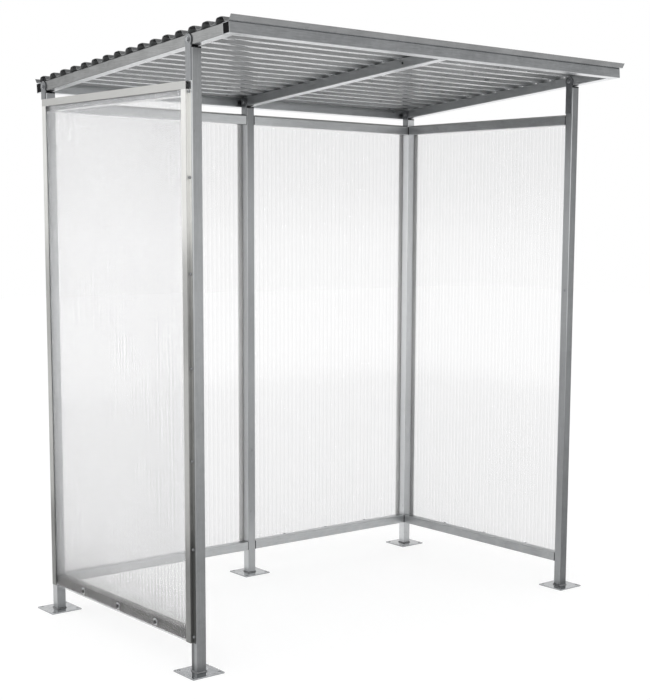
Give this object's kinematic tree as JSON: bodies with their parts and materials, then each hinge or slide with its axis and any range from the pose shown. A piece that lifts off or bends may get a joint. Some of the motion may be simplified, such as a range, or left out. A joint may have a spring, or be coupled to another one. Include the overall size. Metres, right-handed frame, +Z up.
{
  "type": "smoking shelter",
  "caption": "Open-fronted shelter: square steel tube frame on bolt-down plates, corrugated single-pitch roof, and translucent ribbed panels with folded trims on three sides.",
  "frame": {"origin": "on the ground, at the centre of the whole part's plan", "axes": "+X to the right along the open front as seen from in front, +Y from the open front to the back wall, +Z up"},
  "size_m": [1.86, 1.2638, 2.071],
  "materials": {
    "tube_steel": "dull galvanised",
    "plate_steel": "bright galvanised",
    "trim_steel": "plain galvanised",
    "strap_steel": "dull galvanised",
    "roof_steel": "galvanised corrugated sheet",
    "panel_plastic": "clear ribbed twin-wall sheet",
    "black_plastic": "moulded"
  },
  "bodies": {
    "root": {"front_left_post": "tube_steel", "front_right_post": "tube_steel", "back_left_post": "tube_steel", "back_middle_post": "tube_steel", "back_right_post": "tube_steel", "front_left_foot": "plate_steel", "front_right_foot": "plate_steel", "back_left_foot": "plate_steel", "back_middle_foot": "plate_steel", "back_right_foot": "plate_steel", "post_caps": "black_plastic", "front_purlin": "tube_steel", "back_purlin": "tube_steel", "tube_plugs": "black_plastic", "left_rafter": "tube_steel", "middle_rafter": "tube_steel", "right_rafter": "tube_steel", "roof_sheet": "roof_steel", "left_bottom_rail": "tube_steel", "left_top_rail": "tube_steel", "right_bottom_rail": "tube_steel", "right_top_rail": "tube_steel", "back_left_bottom_rail": "tube_steel", "back_left_top_rail": "tube_steel", "back_right_bottom_rail": "tube_steel", "back_right_top_rail": "tube_steel", "left_panel": "panel_plastic", "right_panel": "panel_plastic", "back_left_panel": "panel_plastic", "back_right_panel": "panel_plastic", "left_front_trim": "trim_steel", "left_back_trim": "trim_steel", "right_front_trim": "trim_steel", "right_back_trim": "trim_steel", "back_left_trim": "trim_steel", "back_middle_trim": "trim_steel", "back_right_trim": "trim_steel", "left_top_trim": "trim_steel", "right_top_trim": "trim_steel", "back_top_trim": "trim_steel", "front_left_strap": "strap_steel", "front_right_strap": "strap_steel", "back_left_strap": "strap_steel", "back_middle_strap": "strap_steel", "back_right_strap": "strap_steel"}
  },
  "joints": []
}
